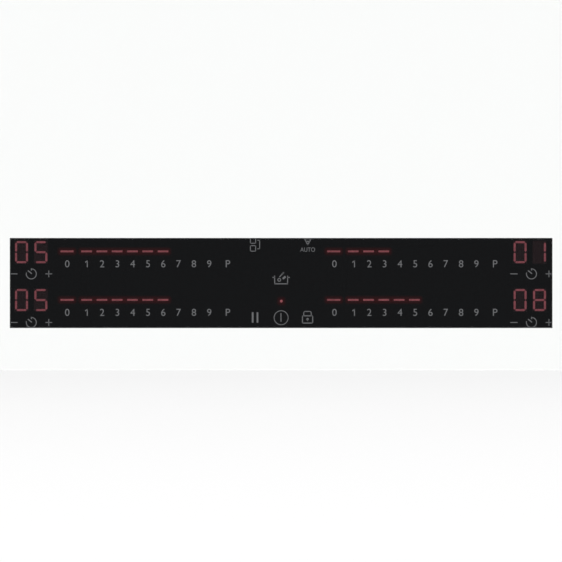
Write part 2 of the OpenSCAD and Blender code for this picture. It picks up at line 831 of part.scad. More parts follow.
module filter_board() {
  color("#2c6b45") block([filter_w, filter_l, board_t], [0, filter_y, board_z]);
}

module filter_parts() {
  color("#2d5f9a") translate([0, filter_y, board_top]) {
    for (s = SIDES) choke(filter_choke_r, [s * filter_choke_at[0], filter_choke_at[1], 0]);
    for (x = line_caps_x) block(line_cap, [x, line_caps_y, 0]);
    for (s = SIDES) block(fuse_holder, [s * fuse_at[0], fuse_at[1], 0]);
    for (s = SIDES) post(varistor_r, varistor_h, [s * varistor_at[0], varistor_at[1], 0]);
    block(filter_socket, [0, filter_socket[2] - filter_l / 2, 0]);
    block(mains_plug, [box_x + mains_plug_at[0], mains_plug_at[1], 0]);
  }
}

// ---- Output

glass_plate();
control_glass();
window_joint();
rim_seal();
mounting_frame();
mask_sheet();
control_housing();
control_board();
timer_displays();
display_segments();
slider_lights();
light_guides();
touch_springs();
control_parts();
control_ribbon();
casing_tray();
casing_screws();
terminal_box();
terminal_block();
terminal_cover();
clamp_rivets();
clamp_arm(-1, -1);  // clamp_arm_front_left
clamp_arm(1, -1);  // clamp_arm_front_right
clamp_arm(-1, 1);  // clamp_arm_rear_left
clamp_arm(1, 1);  // clamp_arm_rear_right
clamp_screw(-1, -1);  // clamp_screw_front_left
clamp_screw(1, -1);  // clamp_screw_front_right
clamp_screw(-1, 1);  // clamp_screw_rear_left
clamp_screw(1, 1);  // clamp_screw_rear_right
board_cradle(-1);  // board_cradle_left
board_cradle(1);  // board_cradle_right
power_board(-1);  // power_board_left
power_board(1);  // power_board_right
heatsink(-1);  // heatsink_left
heatsink(1);  // heatsink_right
power_transistors();
power_parts(-1);  // power_parts_left
power_parts(1);  // power_parts_right
coil_plate(-1);  // coil_plate_left
coil_plate(1);  // coil_plate_right
ferrites(-1);  // ferrites_left
ferrites(1);  // ferrites_right
windings(-1);  // windings_left
windings(1);  // windings_right
mica(-1);  // mica_left
mica(1);  // mica_right
sensors(-1);  // sensors_left
sensors(1);  // sensors_right
coil_springs(-1);  // coil_springs_left
coil_springs(1);  // coil_springs_right
coil_leads(-1);  // coil_leads_left
coil_leads(1);  // coil_leads_right
fan_frame(-1);  // fan_frame_left
fan_frame(1);  // fan_frame_right
fan_rotor(-1);  // fan_rotor_left
fan_rotor(1);  // fan_rotor_right
air_duct();
filter_board();
filter_parts();
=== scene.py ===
"""The looks of a built-in induction hob with an inset touch-control window."""

import json
import math

import bmesh
import bpy
from bpy.props import FloatProperty, FloatVectorProperty, PointerProperty
from mathutils import Matrix, Vector


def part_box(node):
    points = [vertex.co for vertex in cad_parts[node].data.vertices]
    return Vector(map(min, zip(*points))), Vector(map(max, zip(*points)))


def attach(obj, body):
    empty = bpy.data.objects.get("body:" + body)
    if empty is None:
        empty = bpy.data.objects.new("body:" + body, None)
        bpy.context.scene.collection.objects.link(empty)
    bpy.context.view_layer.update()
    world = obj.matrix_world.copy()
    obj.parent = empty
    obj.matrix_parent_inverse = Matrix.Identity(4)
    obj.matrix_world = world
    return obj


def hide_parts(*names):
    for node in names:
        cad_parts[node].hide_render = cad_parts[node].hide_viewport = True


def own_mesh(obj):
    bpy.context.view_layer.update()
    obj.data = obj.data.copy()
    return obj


bl_info = {
    "name": "Induction Hob",
    "version": (1, 0, 0),
    "blender": (4, 5, 0),
    "location": "3D View > Sidebar > Hob",
    "description": "Dresses a built-in induction hob: glass, printed signs, lights, casing and inside",
    "category": "Object",
}

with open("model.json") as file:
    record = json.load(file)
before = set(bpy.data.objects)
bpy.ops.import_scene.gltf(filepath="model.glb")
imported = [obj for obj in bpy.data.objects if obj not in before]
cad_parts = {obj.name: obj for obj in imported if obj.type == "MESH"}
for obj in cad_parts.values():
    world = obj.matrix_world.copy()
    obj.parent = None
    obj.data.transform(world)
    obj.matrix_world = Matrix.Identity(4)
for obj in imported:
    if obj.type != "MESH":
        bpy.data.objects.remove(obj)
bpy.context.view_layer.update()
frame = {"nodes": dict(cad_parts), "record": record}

MM = 0.001
SIDES = ("left", "right")
ROWS = ("rear", "front")

# Places that everything else is worked out from
PLATE_LOW, PLATE_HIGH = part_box("glass_plate")
OPENING_LOW, OPENING_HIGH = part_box("window_joint")
WINDOW_LOW, WINDOW_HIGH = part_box("control_glass")
WINDOW_MID = (WINDOW_LOW + WINDOW_HIGH) / 2
WINDOW_HALF = (WINDOW_HIGH - WINDOW_LOW) / 2 / MM

# Where the print stands on the window, in millimetres from its middle
SLIDER_ZERO = {"left": -135.6, "right": 33.8}
SLIDER_PITCH = 9.7
ZERO_GAP = 2.7
BOOST_GAP = 2.2
NUMBER_Y = {"rear": 12.2, "front": -18.6}
KEY_Y = {"rear": 5.8, "front": -25.0}
CLOCK_X = {"left": -158.4, "right": 158.7}
KEY_GAP = 11.1
POWER_LAMP = (0.1, -11.5)

# A Mix node's sockets where it mixes colours
COLOUR_A = 6
COLOUR_B = 7
MIXED = 2


# ---- Materials


def linear(code):
    """An sRGB hex colour as linear red, green, blue and alpha."""
    channels = [int(code[i:i + 2], 16) / 255 for i in (1, 3, 5)]
    return tuple(c / 12.92 if c <= 0.04045 else ((c + 0.055) / 1.055) ** 2.4 for c in channels) + (1.0,)


def add(tree, kind, inputs=None, **settings):
    """Adds a node with its settings. Each input is given a value, or is linked to another node's output."""
    node = tree.nodes.new(kind)
    for name, value in settings.items():
        setattr(node, name, value)
    for name, value in (inputs or {}).items():
        if isinstance(value, bpy.types.NodeSocket):
            tree.links.new(value, node.inputs[name])
        else:
            node.inputs[name].default_value = value
    return node


def blank(name):
    """A material with an empty tree, and the place on the piece that its patterns start from."""
    material = bpy.data.materials.new(name)
    material.use_nodes = True
    tree = material.node_tree
    tree.nodes.clear()
    return material, tree, add(tree, "ShaderNodeTexCoord").outputs["Object"]


def surface(tree, inputs):
    """Ends a tree in a surface with the given inputs."""
    shader = add(tree, "ShaderNodeBsdfPrincipled", inputs)
    add(tree, "ShaderNodeOutputMaterial", {"Surface": shader.outputs["BSDF"]})


def grained(name, colours, grain_mm, roughness, metallic=0.0, relief_mm=0.0, stretch=(1, 1, 1), **more):
    """A finish whose colour, roughness and relief follow a grain, longer where stretch is under 1."""
    material, tree, place = blank(name)
    where = add(tree, "ShaderNodeMapping", {"Vector": place, "Scale": stretch})
    grain = add(tree, "ShaderNodeTexNoise", {
        "Vector": where.outputs[0], "Scale": 1 / (grain_mm * MM), "Detail": 3.0})
    even = add(tree, "ShaderNodeMapRange", {"Value": grain.outputs["Fac"], "From Min": 0.3, "From Max": 0.7})
    colour = add(tree, "ShaderNodeMix", {
        "Factor": even.outputs[0], COLOUR_A: linear(colours[0]), COLOUR_B: linear(colours[1])},
        data_type="RGBA")
    rough = add(tree, "ShaderNodeMapRange", {
        "Value": even.outputs[0], "To Min": roughness[0], "To Max": roughness[1]})
    inputs = {
        "Base Color": colour.outputs[MIXED], "Roughness": rough.outputs[0], "Metallic": metallic, **more}
    if relief_mm:
        relief = add(tree, "ShaderNodeBump", {
            "Height": even.outputs[0], "Distance": relief_mm * MM, "Strength": 0.6})
        inputs["Normal"] = relief.outputs[0]
    surface(tree, inputs)
    return material


def white_glass_ceramic(colour):
    """Opaque white glass-ceramic, rolled and polished: an even white under a gloss that waves slightly."""
    material, tree, place = blank("white_glass_ceramic")
    wave = add(tree, "ShaderNodeTexNoise", {"Vector": place, "Scale": 1 / (60 * MM), "Detail": 1.0})
    rough = add(tree, "ShaderNodeMapRange", {"Value": wave.outputs["Fac"], "To Min": 0.08, "To Max": 0.13})
    relief = add(tree, "ShaderNodeBump", {
        "Height": wave.outputs["Fac"], "Distance": 0.02 * MM, "Strength": 0.1})
    surface(tree, {
        "Base Color": (*colour, 1.0), "Roughness": rough.outputs[0], "IOR": 1.52,
        "Normal": relief.outputs[0]})
    return material


def smoked_glass(colour):
    """Float glass tinted through and polished: it shows the lights under it, and is black over the mask."""
    material, tree, place = blank("smoked_glass")
    wave = add(tree, "ShaderNodeTexNoise", {"Vector": place, "Scale": 1 / (50 * MM), "Detail": 1.0})
    rough = add(tree, "ShaderNodeMapRange", {"Value": wave.outputs["Fac"], "To Min": 0.0, "To Max": 0.02})
    surface(tree, {
        "Base Color": (*colour, 1.0), "Roughness": rough.outputs[0], "IOR": 1.52,
        "Transmission Weight": 1.0})
    return material


def ceramic_ink(colour):
    """Fired ceramic ink: mid grey, slightly matt beside the glass, its screen's grain drawn 0.5 mm coarse."""
    material, tree, place = blank("ceramic_ink")
    grain = add(tree, "ShaderNodeTexNoise", {"Vector": place, "Scale": 1 / (0.5 * MM)})
    rough = add(tree, "ShaderNodeMapRange", {"Value": grain.outputs["Fac"], "To Min": 0.45, "To Max": 0.65})
    surface(tree, {"Base Color": (*colour, 1.0), "Roughness": rough.outputs[0]})
    return material


def lit_diffuser(name, colour, bright_spot=None):
    """Milky polycarbonate lit from below: uneven over chips 2 mm apart, and brighter round bright_spot."""
    material, tree, place = blank(name)
    chips = add(tree, "ShaderNodeTexNoise", {"Vector": place, "Scale": 1 / (2 * MM), "Detail": 1.0})
    light = add(tree, "ShaderNodeMapRange", {
        "Value": chips.outputs["Fac"], "From Min": 0.3, "From Max": 0.7, "To Min": 0.85, "To Max": 1.15})
    if bright_spot:
        away = add(tree, "ShaderNodeVectorMath", {0: place, 1: bright_spot}, operation="DISTANCE")
        spot = add(tree, "ShaderNodeMapRange", {
            "Value": away.outputs["Value"], "From Min": 0.0, "From Max": 3 * MM,
            "To Min": 1.6, "To Max": 1.0})
        light = add(tree, "ShaderNodeMath", {0: light.outputs[0], 1: spot.outputs[0]}, operation="MULTIPLY")
    surface(tree, {
        "Base Color": linear("#0C0607"), "Roughness": 0.6, "Specular IOR Level": 0.05,
        "Emission Color": (*colour, 1.0), "Emission Strength": light.outputs[0]})
    return material


def glowing_film(colour, runs):
    """Polyester film, screen printed: dead black, but light bleeds 2.4 mm into it round each of the runs."""
    material, tree, place = blank("black_mask_film")
    printing = add(tree, "ShaderNodeTexNoise", {"Vector": place, "Scale": 1 / (3 * MM)})
    rough = add(tree, "ShaderNodeMapRange", {"Value": printing.outputs["Fac"], "To Min": 0.6, "To Max": 0.75})
    # Distance in plan to the nearest run, starting from one metre
    nearest = 1.0
    for low, high in runs:
        steps = (("SUBTRACT", (low + high) / 2), ("ABSOLUTE", (0, 0, 0)), ("SUBTRACT", (high - low) / 2),
                 ("MAXIMUM", (0, 0, 0)), ("MULTIPLY", (1, 1, 0)))
        away = place
        for operation, other in steps:
            away = add(tree, "ShaderNodeVectorMath", {0: away, 1: other}, operation=operation).outputs[0]
        length = add(tree, "ShaderNodeVectorMath", {0: away}, operation="LENGTH")
        nearest = add(tree, "ShaderNodeMath", {0: nearest, 1: length.outputs["Value"]},
                      operation="MINIMUM").outputs[0]
    glow = add(tree, "ShaderNodeMapRange", {
        "Value": nearest, "From Max": 2.4 * MM, "To Min": 1.0, "To Max": 0.0})
    surface(tree, {
        "Base Color": linear("#060606"), "Roughness": rough.outputs[0],
        "Emission Color": (*colour, 1.0), "Emission Strength": glow.outputs[0]})
    return material


def galvanised_sheet():
    """Hot-dip galvanised steel, rolled and folded: pale grey crystals of 9 mm, each with its own shine."""
    material, tree, place = blank("galvanised_sheet")
    crystals = add(tree, "ShaderNodeTexVoronoi", {"Vector": place, "Scale": 1 / (9 * MM)})
    shade = add(tree, "ShaderNodeSeparateColor", {"Color": crystals.outputs["Color"]})
    colour = add(tree, "ShaderNodeMix", {
        "Factor": shade.outputs[0], COLOUR_A: linear("#AEB2B5"), COLOUR_B: linear("#C6C9CB")},
        data_type="RGBA")
    rough = add(tree, "ShaderNodeMapRange", {"Value": shade.outputs[1], "To Min": 0.32, "To Max": 0.5})
    frost = add(tree, "ShaderNodeTexNoise", {"Vector": place, "Scale": 1 / (1.5 * MM)})
    relief = add(tree, "ShaderNodeBump", {
        "Height": frost.outputs["Fac"], "Distance": 0.02 * MM, "Strength": 0.3})
    surface(tree, {
        "Base Color": colour.outputs[MIXED], "Roughness": rough.outputs[0], "Metallic": 1.0,
        "Normal": relief.outputs[0]})
    return material


def solder_mask_board():
    """Glass-fibre laminate under green solder mask: copper tracks 1.3 mm apart show as pale raised lines."""
    material, tree, place = blank("solder_mask_board")
    tracks = add(tree, "ShaderNodeTexBrick", {
        "Vector": place, "Scale": 1 / (1.3 * MM), "Color1": linear("#1C6138"), "Color2": linear("#175431"),
        "Mortar": linear("#2C8350"), "Mortar Size": 0.12, "Brick Width": 9.0, "Row Height": 1.0})
    gloss = add(tree, "ShaderNodeTexNoise", {"Vector": place, "Scale": 1 / (6 * MM)})
    rough = add(tree, "ShaderNodeMapRange", {"Value": gloss.outputs["Fac"], "To Min": 0.22, "To Max": 0.4})
    relief = add(tree, "ShaderNodeBump", {"Height": tracks.outputs["Fac"], "Distance": 0.035 * MM})
    surface(tree, {
        "Base Color": tracks.outputs["Color"], "Roughness": rough.outputs[0], "Normal": relief.outputs[0]})
    return material


def ribbon_cable():
    """Grey PVC ribbon cable: insulated wires 1.27 mm apart, a soft ridge for each, with painted shade in the
    grooves between them and a painted highlight on the ridges.
    """
    material, tree, place = blank("ribbon_cable")
    # A Wave texture of scale 1 repeats every 2 pi / 20
    wires = add(tree, "ShaderNodeTexWave", {
        "Vector": place, "Scale": 2 * math.pi / (20 * 1.27 * MM)}, bands_direction="X")
    # Painted shade and highlight: the grey follows the relief's wave, darker in the grooves between the wires
    # and paler on their ridges
    colour = add(tree, "ShaderNodeMix", {
        "Factor": wires.outputs["Fac"], COLOUR_A: linear("#85898E"), COLOUR_B: linear("#BCBFC3")},
        data_type="RGBA")
    relief = add(tree, "ShaderNodeBump", {"Height": wires.outputs["Fac"], "Distance": 0.3 * MM})
    surface(tree, {"Base Color": colour.outputs[MIXED], "Roughness": 0.5, "Normal": relief.outputs[0]})
    return material


# ---- Shapes


def finished(name, shape, body, material, replaced=()):
    """Makes a bmesh a piece of the hob that rides on a body."""
    bmesh.ops.recalc_face_normals(shape, faces=shape.faces[:])
    mesh = bpy.data.meshes.new(name)
    shape.to_mesh(mesh)
    shape.free()
    mesh.materials.append(material)
    piece = bpy.data.objects.new(name, mesh)
    bpy.context.scene.collection.objects.link(piece)
    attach(piece, body)
    if replaced:
        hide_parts(*replaced)
    return piece


def slab(low, high):
    """A block between two corners."""
    shape = bmesh.new()
    bmesh.ops.create_cube(shape, size=1.0)
    bmesh.ops.scale(shape, vec=high - low, verts=shape.verts[:])
    bmesh.ops.translate(shape, vec=(low + high) / 2, verts=shape.verts[:])
    return shape


def round_edges(shape, chosen, width, segments):
    """Rounds the edges that chosen picks, from the places of their two ends."""
    picked = [e for e in shape.edges if chosen(*(v.co for v in e.verts))]
    bmesh.ops.bevel(shape, geom=picked, offset=width, offset_type="OFFSET", segments=segments, profile=0.5,
                    affect="EDGES", material=-1)


def stroke(shape, start, end, width):
    """Adds a straight stroke of print, which reaches half its width past both ends."""
    start, end = Vector(start), Vector(end)
    along = end - start
    verts = bmesh.ops.create_cube(shape, size=1.0)["verts"]
    bmesh.ops.scale(shape, vec=(along.length + width, width, 1), verts=verts)
    turn = Matrix.Rotation(math.atan2(along.y, along.x), 3, "Z")
    bmesh.ops.rotate(shape, cent=(0, 0, 0), matrix=turn, verts=verts)
    bmesh.ops.translate(shape, vec=((start + end) / 2).to_3d(), verts=verts)


def bent_stroke(shape, middle, radius, start, end, width):
    """Adds a stroke of print along an arc, anticlockwise between two angles in degrees."""
    whole = end - start >= 360
    turn = Matrix.Rotation(math.radians(start), 3, "Z")
    corners = [(radius + x * width, z) for x, z in ((-0.5, -0.5), (0.5, -0.5), (0.5, 0.5), (-0.5, 0.5))]
    verts = [shape.verts.new(turn @ Vector((x, 0, z))) for x, z in corners]
    edges = [shape.edges.new((verts[i - 1], verts[i])) for i in range(4)]
    before = set(shape.verts) - set(verts)
    steps = max(4, round((end - start) / 10))
    bmesh.ops.spin(shape, geom=verts + edges, cent=(0, 0, 0), axis=(0, 0, 1), dvec=(0, 0, 0),
                   angle=math.radians(end - start), steps=steps, use_merge=whole, use_duplicate=False)
    made = [v for v in shape.verts if v not in before]
    if not whole:
        ends = {e for v in made for e in v.link_edges if e.is_boundary}
        bmesh.ops.holes_fill(shape, edges=list(ends), sides=4)
    bmesh.ops.translate(shape, vec=(middle[0], middle[1], 0), verts=made)


def lettering(shape, words, height, middle, narrow=1.0):
    """Adds letters of the built-in typeface, height millimetres tall and narrowed, centred on a point."""
    curve = bpy.data.curves.new("letters", "FONT")
    curve.body = words
    curve.extrude = 0.5
    carrier = bpy.data.objects.new("letters", curve)
    bpy.context.scene.collection.objects.link(carrier)
    bpy.context.view_layer.update()
    mesh = bpy.data.meshes.new_from_object(carrier.evaluated_get(bpy.context.evaluated_depsgraph_get()))
    bpy.data.objects.remove(carrier)
    bpy.data.curves.remove(curve)
    across = [v.co.x for v in mesh.vertices]
    up = [v.co.y for v in mesh.vertices]
    size = height / (max(up) - min(up))
    mesh.transform(Matrix.Translation((-(max(across) + min(across)) / 2, -(max(up) + min(up)) / 2, 0)))
    mesh.transform(Matrix.Translation((*middle, 0)) @ Matrix.Diagonal((size * narrow, size, 1, 1)))
    shape.from_mesh(mesh)
    bpy.data.meshes.remove(mesh)


def printed(name, shape, settings, ink, on_window=True):
    """Turns strokes in millimetres from the window's middle into a film of ink, cropped if on_window."""
    bmesh.ops.remove_doubles(shape, verts=shape.verts[:], dist=0.001)
    if on_window:
        half_x, half_y = WINDOW_HALF.x, WINDOW_HALF.y
        for point in ((half_x, 0, 0), (-half_x, 0, 0), (0, half_y, 0), (0, -half_y, 0)):
            whole = shape.verts[:] + shape.edges[:] + shape.faces[:]
            cut = bmesh.ops.bisect_plane(shape, geom=whole, plane_co=point, plane_no=point, clear_outer=True)
            edges = [e for e in cut["geom_cut"] if isinstance(e, bmesh.types.BMEdge)]
            bmesh.ops.holes_fill(shape, edges=edges, sides=0)
    bmesh.ops.scale(shape, vec=(MM, MM, settings.ink_thickness), verts=shape.verts[:])
    lift = Vector((WINDOW_MID.x, WINDOW_MID.y, PLATE_HIGH.z + settings.ink_thickness / 2))
    bmesh.ops.translate(shape, vec=lift, verts=shape.verts[:])
    return finished(name, shape, "root", ink)


def lit_runs(node):
    """The lowest and highest corners of each run of a part's solids, which end where a gap is over 4 mm."""
    mesh = frame["nodes"][node].data
    runs = []
    for row in (1, -1):
        started = False
        faces = [[mesh.vertices[i].co for i in face.vertices] for face in mesh.polygons]
        faces = [face for face in faces if (face[0].y - WINDOW_MID.y) * row > 0]
        for face in sorted(faces, key=lambda face: min(point.x for point in face)):
            low = Vector(map(min, *face))
            high = Vector(map(max, *face))
            if started and low.x < runs[-1][1].x + 4 * MM:
                runs[-1] = (Vector(map(min, low, runs[-1][0])), Vector(map(max, high, runs[-1][1])))
            else:
                runs.append((low, high))
                started = True
    return runs


def dress(finishes):
    """Gives CAD parts the finish under their name or their record's slot, if they have none yet."""
    for part in frame["record"]["subparts"]:
        node = frame["nodes"][part["node"]]
        finish = finishes.get(part["node"]) or finishes.get(part["material_slot"])
        if finish and not node.hide_render and "dressed" not in node:
            for slot in node.material_slots:
                slot.material = finish
            node["dressed"] = True


# ---- Settings


class HobGlassSettings(bpy.types.PropertyGroup):
    """Edges and colours of the two glasses"""

    corner: FloatProperty(
        name="Corner radius", description="Radius of the plate's corners in plan", default=4 * MM,
        unit="LENGTH", min=1 * MM, max=8 * MM)
    ground_edge: FloatProperty(
        name="Ground edge", description="Radius of the plate's ground and polished edge", default=0.9 * MM,
        unit="LENGTH", min=0.2 * MM, max=1.5 * MM)
    plate_colour: FloatVectorProperty(
        name="Plate", description="Colour of the glass-ceramic plate", subtype="COLOR", size=3,
        default=linear("#F4F5F4")[:3], min=0, max=1)
    window_colour: FloatVectorProperty(
        name="Window", description="Tint of the control glass", subtype="COLOR", size=3,
        default=linear("#A9A9AB")[:3], min=0, max=1)


class HobPrintSettings(bpy.types.PropertyGroup):
    """Sizes and colour of what is printed on the glass"""

    number_height: FloatProperty(
        name="Number height", description="Height of the sliders' printed numbers, in millimetres",
        default=4.5, min=3, max=6)
    zone_line: FloatProperty(
        name="Zone line", description="Width of the zone marks on the plate, in millimetres",
        default=1.2, min=0.6, max=3)
    line_width: FloatProperty(
        name="Line width", description="Width of the printed strokes, in millimetres",
        default=0.5, min=0.3, max=1.5)
    ink_thickness: FloatProperty(
        name="Ink thickness", description="How far the print stands above the glass", default=0.02 * MM,
        unit="LENGTH", min=0.005 * MM, max=0.05 * MM)
    ink_colour: FloatVectorProperty(
        name="Ink", description="Colour of the print", subtype="COLOR", size=3,
        default=linear("#616264")[:3], min=0, max=1)


class HobLightSettings(bpy.types.PropertyGroup):
    """Colours of the lights under the control glass"""

    numeral_colour: FloatVectorProperty(
        name="Numerals", description="Light of the timers' lit segments", subtype="COLOR", size=3,
        default=linear("#924F56")[:3], min=0, max=1)
    bar_colour: FloatVectorProperty(
        name="Bars", description="Light of the sliders' lit bars and of the power dot",
        subtype="COLOR", size=3, default=linear("#965257")[:3], min=0, max=1)
    glow_colour: FloatVectorProperty(
        name="Glow", description="Light that bleeds into the mask film beside the lit bars",
        subtype="COLOR", size=3, default=linear("#380002")[:3], min=0, max=1)
    halo_colour: FloatVectorProperty(
        name="Halo", description="Stray light on the displays' faces and the light guides",
        subtype="COLOR", size=3, default=linear("#200304")[:3], min=0, max=1)


# ---- Pieces


class HOB_OT_plate(bpy.types.Operator):
    """Models the white plate, with ground edges and the opening for the control glass"""

    bl_idname = "hob.plate"
    bl_label = "Glass plate"

    def execute(self, context):
        settings = context.scene.hob_glass
        shape = slab(PLATE_LOW, PLATE_HIGH)
        round_edges(shape, lambda a, b: abs(a.z - b.z) > 1e-6, settings.corner, 8)
        round_edges(shape, lambda a, b: abs(a.z - b.z) < 1e-6, settings.ground_edge, 4)
        through = Vector((0, 0, 5 * MM))
        cutter = bpy.data.meshes.new("opening")
        hole = slab(OPENING_LOW - through, OPENING_HIGH + through)
        hole.to_mesh(cutter)
        hole.free()
        tool = bpy.data.objects.new("opening", cutter)
        context.scene.collection.objects.link(tool)
        ceramic = white_glass_ceramic(settings.plate_colour)
        piece = finished("plate_ground", shape, "root", ceramic, ["glass_plate"])
        opening = piece.modifiers.new("opening", "BOOLEAN")
        opening.solver = "EXACT"
        opening.object = tool
        context.view_layer.update()
        cut = bpy.data.meshes.new_from_object(piece.evaluated_get(context.evaluated_depsgraph_get()))
        piece.modifiers.clear()
        piece.data = cut
        bpy.data.objects.remove(tool)
        bpy.data.meshes.remove(cutter)
        cut.set_sharp_from_angle(angle=math.radians(35))
        return {"FINISHED"}


class HOB_OT_window(bpy.types.Operator):
    """Models the smoked control glass with its fine ground edge"""

    bl_idname = "hob.window"
    bl_label = "Control glass"

    def execute(self, context):
        shape = slab(WINDOW_LOW, WINDOW_HIGH)
        top = WINDOW_HIGH.z
        round_edges(shape, lambda a, b: abs(a.z - top) < 1e-6 and abs(b.z - top) < 1e-6, 0.15 * MM, 2)
        finished("window_ground", shape, "root", smoked_glass(context.scene.hob_glass.window_colour),
                 ["control_glass"])
        return {"FINISHED"}


class HOB_OT_numbers(bpy.types.Operator):
    """Prints the numbers and the boost letter of the four sliders"""

    bl_idname = "hob.numbers"
    bl_label = "Slider numbers"

    def execute(self, context):
        settings = context.scene.hob_print
        ink = ceramic_ink(settings.ink_colour)
        stem_width = 0.6
        for side in SIDES:
            for row in ROWS:
                shape = bmesh.new()
                for n, sign in enumerate("0123456789P"):
                    x = SLIDER_ZERO[side] + n * SLIDER_PITCH + (n > 0) * ZERO_GAP + (n > 9) * BOOST_GAP
                    if sign == "1":
                        self.figure_one(shape, x, NUMBER_Y[row], settings.number_height / 2, stem_width)
                    else:
                        lettering(shape, sign, settings.number_height, (x, NUMBER_Y[row]))
                printed(f"numbers_{row}_{side}", shape, settings, ink)
        return {"FINISHED"}

    @staticmethod
    def figure_one(shape, x, y, half, width):
        """A one with a flag, which the built-in typeface lacks"""
        stem = x + width / 2
        top = (stem, y + half - width / 2)
        foot = (stem, y - half + width / 2)
        flag = (stem - 1.1, y + half - 1.2)
        stroke(shape, foot, top, width)
        stroke(shape, top, flag, width)


class HOB_OT_timer_keys(bpy.types.Operator):
    """Prints the minus, clock and plus under each timer"""

    bl_idname = "hob.timer_keys"
    bl_label = "Timer keys"

    def execute(self, context):
        settings = context.scene.hob_print
        ink = ceramic_ink(settings.ink_colour)
        width = settings.line_width
        minus_reach = 2.1
        plus_reach = 1.9
        clock_r = 3.2
        # The clock's ring is open from the mark at its top to the left, and its hand points into the gap
        ring_start = -195
        ring_end = 88
        mark = 0.7
        hand = 0.65
        for side in SIDES:
            for row in ROWS:
                x, y = CLOCK_X[side], KEY_Y[row]
                shape = bmesh.new()
                stroke(shape, (x - KEY_GAP - minus_reach, y), (x - KEY_GAP + minus_reach, y), width)
                stroke(shape, (x + KEY_GAP - plus_reach, y), (x + KEY_GAP + plus_reach, y), width)
                stroke(shape, (x + KEY_GAP, y - plus_reach), (x + KEY_GAP, y + plus_reach), width)
                bent_stroke(shape, (x, y), clock_r, ring_start, ring_end, width)
                stroke(shape, (x + 0.1, y + clock_r), (x + 0.1, y + clock_r - mark), mark)
                stroke(shape, (x - 1.9, y + 1.9), (x + 0.1, y + 0.3), hand)
                printed(f"timer_keys_{row}_{side}", shape, settings, ink)
        return {"FINISHED"}


class HOB_OT_signs(bpy.types.Operator):
    """Prints the signs between the sliders: bridge, hood, pot, pause, power and lock"""

    bl_idname = "hob.signs"
    bl_label = "Centre signs"

    def execute(self, context):
        settings = context.scene.hob_print
        ink = ceramic_ink(settings.ink_colour)
        line = settings.line_width
        # What draws each sign, and the width of its strokes
        signs = {
            "bridge": (self.bridge, line),
            "hood": (self.hood, line + 0.15),
            "pot": (self.pot, line + 0.1),
            "pause": (self.pause, 1.1),
            "power": (self.power, 0.46),
            "lock": (self.lock, line + 0.1),
        }
        for name, (draw, width) in signs.items():
            shape = bmesh.new()
            draw(shape, width)
            printed(f"sign_{name}", shape, settings, ink)
        return {"FINISHED"}

    # Every sign is drawn in millimetres from the window's middle

    def bridge(self, shape, width):
        """Two squares, one over the other, and a bracket that joins them"""
        for low in (20.2, 25.2):
            self.square(shape, -19.5, low, 3.35, 3.5, width)
        bracket = ((-14.8, 27.1), (-13.6, 27.1), (-13.6, 21.7), (-14.8, 21.7))
        for start, end in zip(bracket, bracket[1:]):
            stroke(shape, start, end, width)

    def hood(self, shape, width):
        """A cone that opens upwards, with two arcs across it, over the word AUTO"""
        tip = (16.9, 24.3)
        for x in (14.6, 19.2):
            stroke(shape, tip, (x, 28.4), width)
        for radius in (2.4, 4.2):
            bent_stroke(shape, (16.9, 24.0), radius, 60, 120, width)
        lettering(shape, "AUTO", 2.7, (16.8, 21.2), narrow=0.88)

    def pot(self, shape, width):
        """An open pot with two handles, and food and a spoon in it"""
        wall = 4.1
        for side in (-1, 1):
            stroke(shape, (side * wall, -0.3), (side * wall, 4.4), width)
            stroke(shape, (side * wall, 3.6), (side * 5.2, 3.6), width)
        stroke(shape, (-wall, -0.5), (wall, -0.5), width)
        bent_stroke(shape, (-1.2, 2.0), 0.9, 0, 360, 0.5)
        spoon_end = (1.4, 6.4)
        stroke(shape, (-0.9, 4.0), spoon_end, 0.6)
        stroke(shape, (0.9, 5.9), spoon_end, 1.0)
        stroke(shape, (1.5, 3.1), (2.3, 3.7), 1.3)

    def pause(self, shape, width):
        """Two upright bars"""
        for x in (-18.05, -15.0):
            stroke(shape, (x, -24.6), (x, -19.1), width)

    def power(self, shape, width):
        """A ring with a slightly thicker upright stroke in it"""
        bent_stroke(shape, (0, -22.0), 4.45, 0, 360, width)
        stroke(shape, (-0.1, -24.3), (-0.1, -19.3), width + 0.1)

    def lock(self, shape, width):
        """A padlock: its body, its shackle with rounded shoulders, and its keyhole"""
        self.square(shape, 13.5, -25.4, 6.5, 4.6, width)
        for x in (14.3, 19.1):
            stroke(shape, (x, -20.7), (x, -19.1), width)
        stroke(shape, (15.4, -18.0), (18.0, -18.0), width)
        bent_stroke(shape, (15.4, -19.1), 1.1, 90, 180, width)
        bent_stroke(shape, (18.0, -19.1), 1.1, 0, 90, width)
        bent_stroke(shape, (16.75, -22.9), 0.42, 0, 360, 0.7)
        stroke(shape, (16.75, -23.1), (16.75, -23.9), 0.4)

    @staticmethod
    def square(shape, x, y, w, h, width):
        """Adds a rectangle of four strokes, with its lower left corner at x and y"""
        corners = [(x, y), (x + w, y), (x + w, y + h), (x, y + h)]
        for i, corner in enumerate(corners):
            stroke(shape, corners[i - 1], corner, width)


class HOB_OT_zone_marks(bpy.types.Operator):
    """Prints a cross and four short arcs on each cooking zone"""

    bl_idname = "hob.zone_marks"
    bl_label = "Zone marks"

    def execute(self, context):
        settings = context.scene.hob_print
        ink = ceramic_ink(settings.ink_colour)
        width = settings.zone_line
        arm = 7
        half_arc = 9
        for side in SIDES:
            low, high = (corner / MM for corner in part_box(f"windings_{side}"))
            radius = (high.x - low.x) / 2
            x = (low.x + high.x) / 2 - WINDOW_MID.x / MM
            for row, y in (("front", low.y + radius), ("rear", high.y - radius)):
                y -= WINDOW_MID.y / MM
                shape = bmesh.new()
                stroke(shape, (x - arm, y), (x + arm, y), width)
                stroke(shape, (x, y - arm), (x, y + arm), width)
                for angle in (45, 135, 225, 315):
                    bent_stroke(shape, (x, y), radius, angle - half_arc, angle + half_arc, width)
                printed(f"zone_mark_{row}_{side}", shape, settings, ink, on_window=False)
        return {"FINISHED"}


